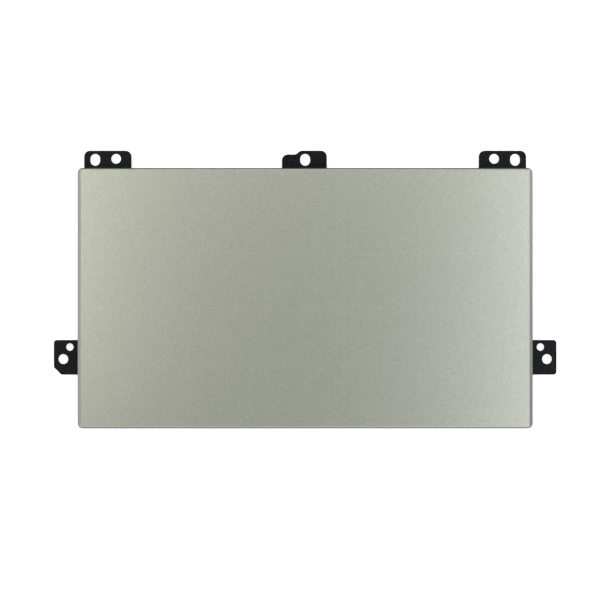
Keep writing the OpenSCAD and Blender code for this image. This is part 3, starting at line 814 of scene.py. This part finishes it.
def sensor_lines():
    """Runs from the controller to the sensor's columns and rows and to the connector, with no crossing."""
    low, high = box_mm("touch_controller")
    sides = {}
    for lead in solids_mm("controller_leads"):
        foot, out = lead_end(lead, (low, high))
        sides.setdefault(out, []).append(foot)
    back = sorted(sides[0, 1])
    front = sorted(sides[0, -1])
    left = sorted(sides[-1, 0], key=lambda foot: foot[1])
    right = sorted(sides[1, 0], key=lambda foot: foot[1])
    paths = []
    for row in range(SIDE_RUNS):
        bus = high.y + nth(BACK_BUS, row)
        end = high.y + nth(BACK_END, row)
        for sign, foot in ((-1, back[row]), (1, back[-1 - row])):
            column = sign * nth(BACK_COLUMN, row)
            paths.append([foot, (foot[0], bus), (column, bus), (column, end)])
    for row in range(SIDE_RUNS):
        bus = low.y + nth(FRONT_BUS, row)
        for foot, columns, ends in ((front[row], FRONT_LEFT_COLUMN, FRONT_LEFT_END),
                                    (front[-1 - row], FRONT_RIGHT_COLUMN, FRONT_RIGHT_END)):
            column = nth(columns, row)
            paths.append([foot, (foot[0], bus), (column, bus), (column, low.y + nth(ends, row))])
    for row, foot in enumerate(left[:LEFT_RUNS[0]] + left[-LEFT_RUNS[1]:]):
        column = nth(LEFT_COLUMN, row)
        paths.append([foot, (column, foot[1]), (column, low.y + nth(LEFT_END, row))])
    via_places = [path[-1] for path in paths]
    tails = [((a.x + b.x) / 2, a.y) for a, b in solids_mm("connector_contacts")]
    for row, foot in enumerate(right[:len(tails)]):
        tail = tails[-1 - row]
        down = nth(CABLE_DOWN, row)
        across = low.y + nth(CABLE_ACROSS, row)
        paths.append([foot, (down, foot[1]), (down, across), (tail[0], across), tail])
    return paths, via_places


def board_copper():
    """Copper runs under the solder mask, with a ringed via where each goes through the board."""
    paths, via_places = sensor_lines()
    runs = Shape()
    for path in paths:
        runs.line(bent(path), TRACE_W, TRACE_D)
    runs.piece("board_runs", [MASKED_COPPER], "board_laminate", "pad")
    vias = Shape()
    ring = [(0.16, SUNK), (0.17, -0.03), (0.2, -0.045), (0.34, -0.045), (0.4, -0.03), (0.42, SUNK)]
    for x, y in via_places:
        vias.turned(x, y, BOARD_Z, ring, steps=20, closed=True)
    vias.piece("board_vias", [MASKED_COPPER], "board_laminate", "pad")


def test_pads():
    """Round gilt test pads in two rows, and the two round marks that a board is set by."""
    shape = Shape()
    button = [(0.58, SUNK), (0.57, -0.03), (0.5, -0.042), (0.25, -0.045), (0.02, -0.045)]
    rings = Shape()
    ring = [(0.78, SUNK), (0.79, -INK_D), (0.9, -INK_D), (0.91, SUNK)]
    for x, y in test_pad_places():
        shape.turned(x, y, BOARD_Z, button, steps=28)
        rings.turned(x, y, BOARD_Z, ring, steps=28, closed=True)
    shape.piece("test_pads", [FINISH["gold_contact"]], "gold_contact", "pad")
    rings.piece("test_pad_rings", [BOARD_INK], "board_laminate", "pad")


def test_pad_places():
    """Middles of the test pads and of the two marks that the board is set by."""
    board_front = box_mm("sensor_board")[0].y
    places = []
    for row in range(TEST_PAD_ROWS):
        for column in range(TEST_PAD_COLUMNS):
            places.append((TEST_PAD_FIRST[0] + TEST_PAD_STEP[0] * column,
                           TEST_PAD_FIRST[1] + TEST_PAD_STEP[1] * row))
    return [(x, board_front + y) for x, y in places + list(BOARD_TARGETS)]


def outline_corners(shape, low, high, offset, leg):
    """Four corner marks round a part."""
    x0, y0, x1, y1 = low.x - offset, low.y - offset, high.x + offset, high.y + offset
    for x, sx in ((x0, 1), (x1, -1)):
        for y, sy in ((y0, 1), (y1, -1)):
            shape.line([(x + sx * leg, y), (x, y), (x, y + sy * leg)], INK_W, INK_D)


def board_marks():
    """Print on the board: marks round the parts and a dot at two chips' first leads, with no words."""
    shape = Shape()
    for name, sizes in CORNER_MARKS.items():
        outline_corners(shape, *box_mm(name), *sizes)
    for low, high in solids_mm("resistors") + solids_mm("capacitors"):
        outline_corners(shape, low, high, *PASSIVE_MARK)
    low, high = box_mm("connector_housing")
    back = high.y + CONNECTOR_MARK_BACK
    front = low.y - CONNECTOR_MARK_FRONT
    back_leg, front_leg = CONNECTOR_MARK_LEGS
    for x, sign in ((low.x - CONNECTOR_MARK_OUT, 1), (high.x + CONNECTOR_MARK_OUT, -1)):
        path = [(x + sign * back_leg, back), (x, back), (x, front), (x + sign * front_leg, front)]
        shape.line(path, INK_W, INK_D)
    dot = [(0.2, SUNK), (0.19, -INK_D), (0.02, -INK_D)]
    for name, away in FIRST_LEAD_DOTS.items():
        low, high = box_mm(name)
        shape.turned(low.x - away, high.y + away, BOARD_Z, dot, steps=16)
    shape.piece("board_marks", [BOARD_INK], "board_laminate", "pad")


# Hinge leaves, dome, bumpers and welds, in millimetres and degrees

LEAF_CUTS = 8
LEAF_EDGE = 0.03
LEAF_SHARP = 40.0
LEAF_SMOOTH = 30.0
# Spot welds: places across a leaf, and how far they lie from the rail's front and from the leaf's back
WELDS_ACROSS = (-9.0, -5.4, -1.8, 1.8, 5.4, 9.0)
WELD_FROM_FRONT = 0.95
WELD_FROM_BACK = 0.75
# Dome: sheet, height and share of the radius of its dimple, and the share at which its rings end
DOME_SHEET = 0.05
DOME_DIMPLE = 0.02
DIMPLE_SHARE = 0.16
DOME_EYE = 0.01
DOME_STEPS = 14
# Foam: share of its height, and how far in the outline lies there
FOAM_LEVELS = ((0.0, 0.06), (0.04, 0.0), (0.2, 0.02), (0.5, 0.05), (0.74, 0.04), (0.88, 0.09), (0.96, 0.2),
               (0.985, 0.4), (0.995, 0.75), (1.0, 1.15))
FOAM_SMOOTH = 60.0
FOAM_CORNER = 0.5
FOAM_DRAW = 0.045
DRAW_POWER = 0.6
CORNER_STEPS = 6
SIDE_STEPS = 12


def bending_leaf(side):
    """Hinge leaf between the rail and the tape: the CAD leaf with cut necks and broken edges."""
    node = "hinge_leaf_" + side
    work = bmesh.new()
    work.from_mesh(nodes[node].data)
    bmesh.ops.remove_doubles(work, verts=work.verts, dist=WELD)
    sharp = [edge for edge in work.edges
             if len(edge.link_faces) == 2 and edge.calc_face_angle() > math.radians(LEAF_SHARP)]
    bmesh.ops.bevel(work, geom=sharp, offset=LEAF_EDGE * MM, segments=2, profile=0.5, affect="EDGES")
    for step in range(LEAF_CUTS + 1):
        y = (TAPE_BACK + (RAIL_FRONT - TAPE_BACK) * step / LEAF_CUTS) * MM
        bmesh.ops.bisect_plane(work, geom=work.verts[:] + work.edges[:] + work.faces[:],
                               plane_co=(0, y, 0), plane_no=(0, 1, 0))
    bmesh.ops.dissolve_degenerate(work, edges=work.edges, dist=WELD)
    mesh = bpy.data.meshes.new("leaf_" + side)
    work.to_mesh(mesh)
    work.free()
    mesh.materials.append(FINISH["spring_steel"])
    leaf = place("leaf_" + side, mesh, "spring_steel", None, LEAF_SMOOTH)
    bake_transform(leaf)
    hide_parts(node)


def weld_spots():
    """Marks of the spot welds that hold the leaves to the rail, seen on the rail's underside."""
    shape = Shape()
    mark = [(0.62, 0.01), (0.6, -0.012), (0.5, -0.03), (0.42, -0.026), (0.34, -0.008), (0.16, -0.004),
            (0.02, -0.004)]
    for side in ("left", "right"):
        low, high = box_mm("hinge_leaf_" + side)
        middle = (low.x + high.x) / 2
        for across in WELDS_ACROSS:
            for y in (RAIL_FRONT + WELD_FROM_FRONT, high.y - WELD_FROM_BACK):
                shape.turned(middle + across, y, RAIL_Z, mark, steps=24)
    shape.piece("weld_spots", [WELD_STEEL], "spring_steel", "bracket")


def snap_dome():
    """Round snap dome with a small dimple in its crown."""
    low, high = box_mm("switch_dome")
    radius = (high.x - low.x) / 2
    rise = high.z - low.z - DOME_SHEET
    lower = []
    for step in range(DOME_STEPS + 1):
        share = max(step / DOME_STEPS, DOME_EYE)
        dimple = DOME_DIMPLE * max(0.0, 1.0 - share / DIMPLE_SHARE)
        lower.append((radius * share, rise * share ** 2 + dimple))
    upper = [(r, z + DOME_SHEET) for r, z in reversed(lower)]
    shape = Shape()
    shape.turned((low.x + high.x) / 2, (low.y + high.y) / 2, low.z, lower + upper, steps=40)
    made = shape.piece("snap_dome", [FINISH["spring_steel"]], "spring_steel", "pad")
    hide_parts("switch_dome")
    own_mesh(made)


def foam_bumper(side):
    """Foam bumper: a crowned block whose sides pull in between its corners, flat where it is stuck down."""
    node = "bumper_" + side
    low, high = box_mm(node)
    middle = (low + high) / 2
    half = (high - low) / 2
    tall = high.z - low.z
    rings = []
    for share, inset in FOAM_LEVELS:
        rings.append([(middle.x + x, middle.y + y, low.z + tall * share)
                      for x, y in bumper_outline(half.x - inset, half.y - inset)])
    shape = Shape()
    shape.skin(rings)
    made = shape.piece("foam_" + side, [FINISH["foam"]], "foam", "bracket", FOAM_SMOOTH)
    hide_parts(node)


def bumper_outline(half_x, half_y):
    """Round-cornered outline with sides that are slightly drawn in."""
    radius = min(FOAM_CORNER, half_y / 2)

    def on_corner(sign_x, sign_y, degrees):
        angle = math.radians(degrees)
        return (sign_x * (half_x - radius) + radius * math.cos(angle),
                sign_y * (half_y - radius) + radius * math.sin(angle))

    points = []
    corners = ((1, 1, 0), (-1, 1, 90), (-1, -1, 180), (1, -1, 270))
    for index, (sign_x, sign_y, start) in enumerate(corners):
        for step in range(CORNER_STEPS + 1):
            points.append(on_corner(sign_x, sign_y, start + 90 * step / CORNER_STEPS))
        following = corners[(index + 1) % len(corners)]
        first = points[-1]
        last = on_corner(*following)
        angle = math.radians(following[2])
        for step in range(1, SIDE_STEPS):
            share = step / SIDE_STEPS
            draw = FOAM_DRAW * math.sin(math.pi * share) ** DRAW_POWER
            points.append((first[0] + (last[0] - first[0]) * share - math.cos(angle) * draw,
                           first[1] + (last[1] - first[1]) * share - math.sin(angle) * draw))
    return points


# Scene: floor, light and camera

WHITE = (1.0, 1.0, 1.0, 1.0)
# Camera above the pad, in millimetres
CAMERA_DISTANCE = 350.0
CAMERA_AT = (-1.305, -2.725)
PAD_TOP = 3.0
FRAME_WIDTH = 151.48
SENSOR_WIDTH = 36.0
# Floor, in metres: half its width, and how far it lies under the part
FLOOR_HALF = 8.0
FLOOR_DROP = 0.05 * MM
FLOOR_GREY = (0.86, 0.86, 0.86, 1.0)
FLOOR_LIFT = 0.7
# Light from all round: spans of a direction's Z, of X times Z and of Y, and the levels at their ends
SKY_SPAN = (0.25, 1.0)
SKY_LEVELS = (0.85, 0.327)
RIGHT_SPAN = (0.1, 0.42)
RIGHT_LEVELS = (1.0, 0.0)
FRONT_SPAN = (-0.75, -0.25)
FRONT_LEVELS = (1.45, 1.0)
# Soft lights, in metres: spans in X and Y, height, radiance and colour
DAYLIGHT = (1.0, 1.0, 1.0)
COOL_DAYLIGHT = (0.98, 0.99, 1.13)
SOFTBOXES = {
    "softbox_right": ((0.1, 0.15), (-0.3, 0.13), 0.2, 3.38, COOL_DAYLIGHT),
    "softbox_far_right": ((0.11, 0.2), (0.005, 0.12), 0.09, 0.82, DAYLIGHT),
    "softbox_left": ((-0.15, -0.1), (-0.053, 0.3), 0.2, 2.88, DAYLIGHT),
    "softbox_back": ((-0.12, 0.12), (0.08, 0.12), 0.2, 1.1, DAYLIGHT),
    "softbox_under_right": ((0.1, 0.15), (-0.25, 0.25), -0.2, 4.0, DAYLIGHT),
    "softbox_under_left": ((-0.15, -0.1), (-0.25, 0.25), -0.2, 3.0, DAYLIGHT),
}


def floor_finish():
    """Pale floor that shows white, keeps shadows, and is clear from below."""
    material = bpy.data.materials.new("pale_floor")
    material.use_nodes = True
    tree = material.node_tree
    tree.nodes.clear()
    path = add_node(tree, "ShaderNodeLightPath").outputs
    seen = math_node(tree, "MAXIMUM", path["Is Camera Ray"], path["Is Glossy Ray"])
    seen = math_node(tree, "MAXIMUM", seen, path["Is Transmission Ray"])
    lift = math_node(tree, "MULTIPLY", seen, FLOOR_LIFT)
    paper = add_node(tree, "ShaderNodeBsdfDiffuse", {"Color": FLOOR_GREY}).outputs[0]
    glow = add_node(tree, "ShaderNodeEmission", {"Color": WHITE, "Strength": lift}).outputs[0]
    both = add_node(tree, "ShaderNodeAddShader", {0: paper, 1: glow}).outputs[0]
    clear = add_node(tree, "ShaderNodeBsdfTransparent").outputs[0]
    below = add_node(tree, "ShaderNodeNewGeometry").outputs["Backfacing"]
    pick = add_node(tree, "ShaderNodeMixShader", {0: below, 1: both, 2: clear}).outputs[0]
    add_node(tree, "ShaderNodeOutputMaterial", {"Surface": pick})
    return material


def make_floor():
    mesh = bpy.data.meshes.new("floor")
    signs = ((-1, -1), (1, -1), (1, 1), (-1, 1))
    corners = [(x * FLOOR_HALF, y * FLOOR_HALF, -FLOOR_DROP) for x, y in signs]
    mesh.from_pydata(corners, [], [(0, 1, 2, 3)])
    mesh.materials.append(floor_finish())
    floor = bpy.data.objects.new("floor", mesh)
    bpy.context.scene.collection.objects.link(floor)
    floor.visible_diffuse = False
    floor.visible_shadow = False


def make_world():
    """Studio light: bright low down and in front, dim overhead, dark halfway up on the right."""
    world = bpy.data.worlds.new("studio")
    bpy.context.scene.world = world
    world.use_nodes = True
    tree = world.node_tree
    sky = tree.nodes["Background"]
    where = add_node(tree, "ShaderNodeTexCoord").outputs["Generated"]
    toward = add_node(tree, "ShaderNodeSeparateXYZ", {0: where}).outputs
    slant = math_node(tree, "MULTIPLY", toward["X"], toward["Z"])
    strength = None
    for source, span, ends in ((toward["Z"], SKY_SPAN, SKY_LEVELS),
                               (slant, RIGHT_SPAN, RIGHT_LEVELS),
                               (toward["Y"], FRONT_SPAN, FRONT_LEVELS)):
        level = map_node(tree, source, span, ends, "SMOOTHSTEP")
        strength = math_node(tree, "MULTIPLY", strength, level) if strength else level
    plug(tree, strength, sky.inputs["Strength"])
    plug(tree, WHITE, sky.inputs["Color"])


def softbox(name, x_range, y_range, height, radiance, color):
    """Flat light that faces the part, out of the camera's view. Its radiance is 1 for white."""
    light = bpy.data.lights.new(name, "AREA")
    light.shape = "RECTANGLE"
    light.size = x_range[1] - x_range[0]
    light.size_y = y_range[1] - y_range[0]
    light.energy = radiance * math.pi * light.size * light.size_y
    light.color = color
    box = bpy.data.objects.new(name, light)
    box.location = (sum(x_range) / 2, sum(y_range) / 2, height)
    box.rotation_euler.x = math.pi if height < 0 else 0.0
    box.visible_camera = False
    bpy.context.scene.collection.objects.link(box)


def make_camera():
    """Camera straight above the pad, framed as the photograph is."""
    camera = bpy.data.cameras.new("camera")
    camera.sensor_width = SENSOR_WIDTH
    camera.lens = SENSOR_WIDTH * CAMERA_DISTANCE / FRAME_WIDTH
    view = bpy.data.objects.new("camera", camera)
    view.location = Vector((*CAMERA_AT, CAMERA_DISTANCE + PAD_TOP)) * MM
    bpy.context.scene.collection.objects.link(view)
    bpy.context.scene.camera = view


dress_frame()
for edge_name, edge_break in EDGE_BREAKS.items():
    break_edges(edge_name, *edge_break)
chip_solder()
passive_solder()
connector_solder()
switch_solder()
passives("capacitor_set", "capacitors", FINISH["capacitor_ceramic"], "capacitor_ceramic")
passives("resistor_set", "resistors", ALUMINA, "resistor_ceramic", FINISH["resistor_ceramic"])
board_copper()
test_pads()
board_marks()
for hand in ("left", "right"):
    bending_leaf(hand)
    foam_bumper(hand)
weld_spots()
snap_dome()
make_floor()
make_world()
for box_name, box_values in SOFTBOXES.items():
    softbox(box_name, *box_values)
make_camera()
bpy.context.scene.view_settings.view_transform = "Standard"
